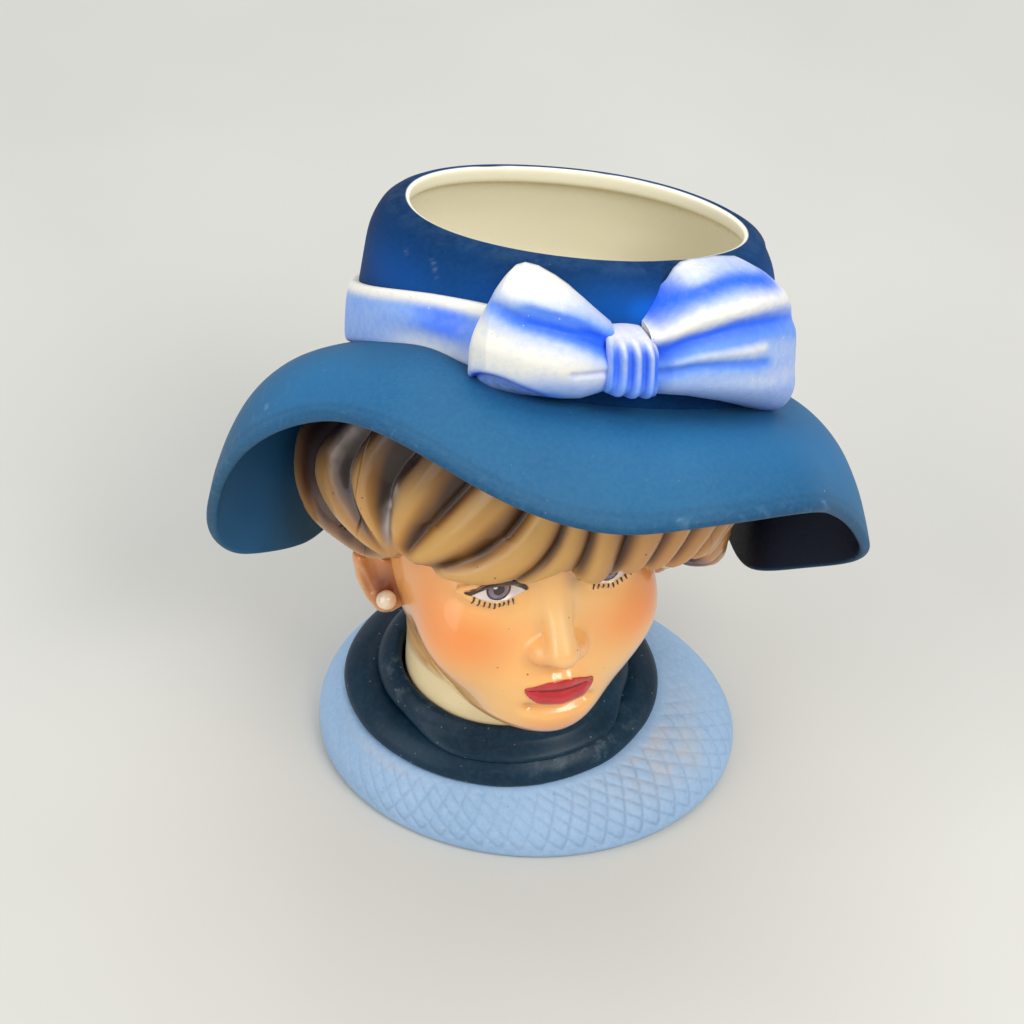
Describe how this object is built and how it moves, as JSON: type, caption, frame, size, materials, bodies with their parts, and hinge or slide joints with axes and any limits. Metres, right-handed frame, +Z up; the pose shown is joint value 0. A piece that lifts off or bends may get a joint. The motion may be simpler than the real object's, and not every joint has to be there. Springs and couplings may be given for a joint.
{
  "type": "head planter",
  "caption": "Hollow ceramic head planter: a bust with roll collar, fringe, pearl earrings and a wavy wide-brimmed hat with a bow, whose open crown holds the plant.",
  "frame": {"origin": "centre of the flat foot, on the surface it stands on", "axes": "+Z up, the face looks along -Y, +X is the right of someone who looks at the face"},
  "size_m": [0.1419, 0.1116, 0.1534],
  "materials": {
    "base_blue": "cold-painted matte",
    "collar_navy": "cold-painted satin",
    "skin_glaze": "clear gloss over painted bisque",
    "hair_glaze": "clear gloss over airbrushed bisque",
    "crown_navy": "cold-painted matte, glazed cream inside",
    "brim_blue": "cold-painted matte",
    "ribbon": "airbrushed matte",
    "pearl": "pearl lacquer",
    "pin": "plain wire"
  },
  "bodies": {
    "root": {"shoulder_base": "base_blue", "collar_lower_roll": "collar_navy", "collar_upper_roll": "collar_navy", "neck_shell": "skin_glaze", "head_shell": "skin_glaze", "left_ear": "skin_glaze", "right_ear": "skin_glaze", "hair_fringe": "hair_glaze", "hair_left": "hair_glaze", "hair_right": "hair_glaze", "hair_back": "hair_glaze", "hat_crown": "crown_navy", "hat_brim": "brim_blue", "hat_band": "ribbon", "bow_left_loop": "ribbon", "bow_right_loop": "ribbon", "bow_knot": "ribbon", "left_pearl": "pearl", "right_pearl": "pearl", "left_earring_pin": "pin", "right_earring_pin": "pin"}
  },
  "joints": []
}
